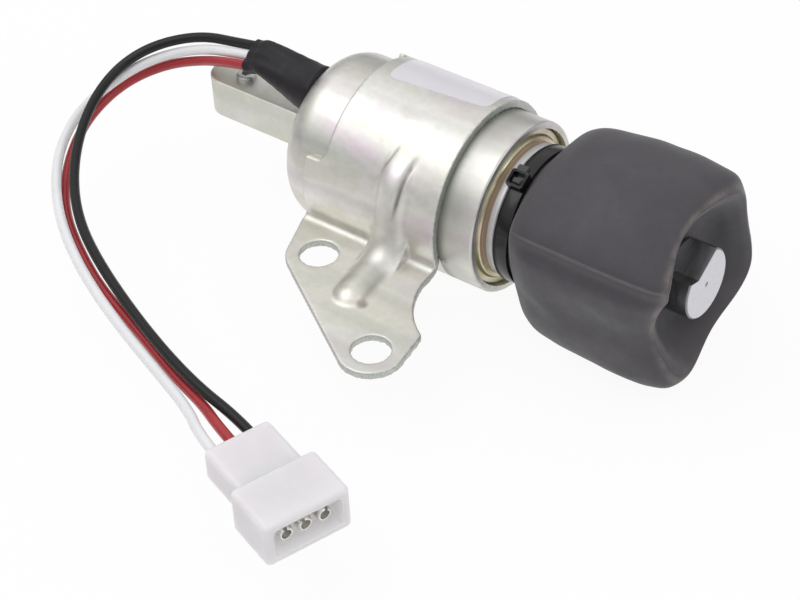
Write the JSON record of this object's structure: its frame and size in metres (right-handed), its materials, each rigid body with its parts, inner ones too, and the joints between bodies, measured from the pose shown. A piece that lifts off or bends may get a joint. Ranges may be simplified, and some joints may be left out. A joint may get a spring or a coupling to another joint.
{
  "type": "fuel shut-off solenoid",
  "caption": "Pull solenoid in a drawn steel can, held by a strap bracket, with a rubber boot over its sprung plunger, a square rear bar and wires to a plug.",
  "frame": {"origin": "centre of the two mounting holes, on the underside of the bracket's flange", "axes": "+Z is the flange's normal, away from what it is bolted to; +X runs along the coil axis, from the rear bar to the plunger's tip"},
  "size_m": [0.2002, 0.1683, 0.0583],
  "materials": {
    "zinc_bracket": "bright zinc, faintly iridescent",
    "zinc_case": "bright zinc over a drawn shell",
    "zinc_bar": "bright zinc",
    "yellow_zinc": "yellow zinc",
    "plain_steel": "machined",
    "turned_steel": "turned",
    "spring_steel": "satin",
    "black_steel": "black oxide",
    "brass_tube": "drawn",
    "copper_wire": "enamelled winding",
    "tinned_brass": "tinned",
    "nylon": "natural nylon",
    "black_nylon": "matte",
    "white_nylon": "translucent natural nylon",
    "boot_rubber": "matte moulded rubber",
    "black_rubber": "matte",
    "label_film": "satin film",
    "shrink_sleeve": "shrunk, semi gloss",
    "black_insulation": "semi gloss",
    "white_insulation": "semi gloss",
    "red_insulation": "semi gloss"
  },
  "bodies": {
    "housing": {"mounting_bracket": "zinc_bracket", "case": "zinc_case", "front_plate": "yellow_zinc", "rear_plate": "plain_steel", "boot_collar": "yellow_zinc", "guide_tube": "brass_tube", "bobbin": "nylon", "pull_winding": "copper_wire", "hold_winding": "copper_wire", "back_stop": "plain_steel", "return_spring": "spring_steel", "rear_bar": "zinc_bar", "bar_screw": "black_steel", "boot": "boot_rubber", "boot_tie": "black_nylon", "label": "label_film", "grommet": "black_rubber", "sleeve": "shrink_sleeve", "wire_black": "black_insulation", "wire_white": "white_insulation", "wire_red": "red_insulation", "plug_housing": "white_nylon", "terminal_black": "tinned_brass", "terminal_red": "tinned_brass", "terminal_white": "tinned_brass"},
    "plunger": {"plunger": "turned_steel"}
  },
  "joints": [
    {"name": "plunger_slide", "type": "slide", "parent": "housing", "child": "plunger", "axis": [-1, 0, 0], "range_m": [0, 0.0254], "stiffness_N_per_m": 600, "springref_m": -0.01, "deforming": ["boot", "return_spring"]}
  ]
}
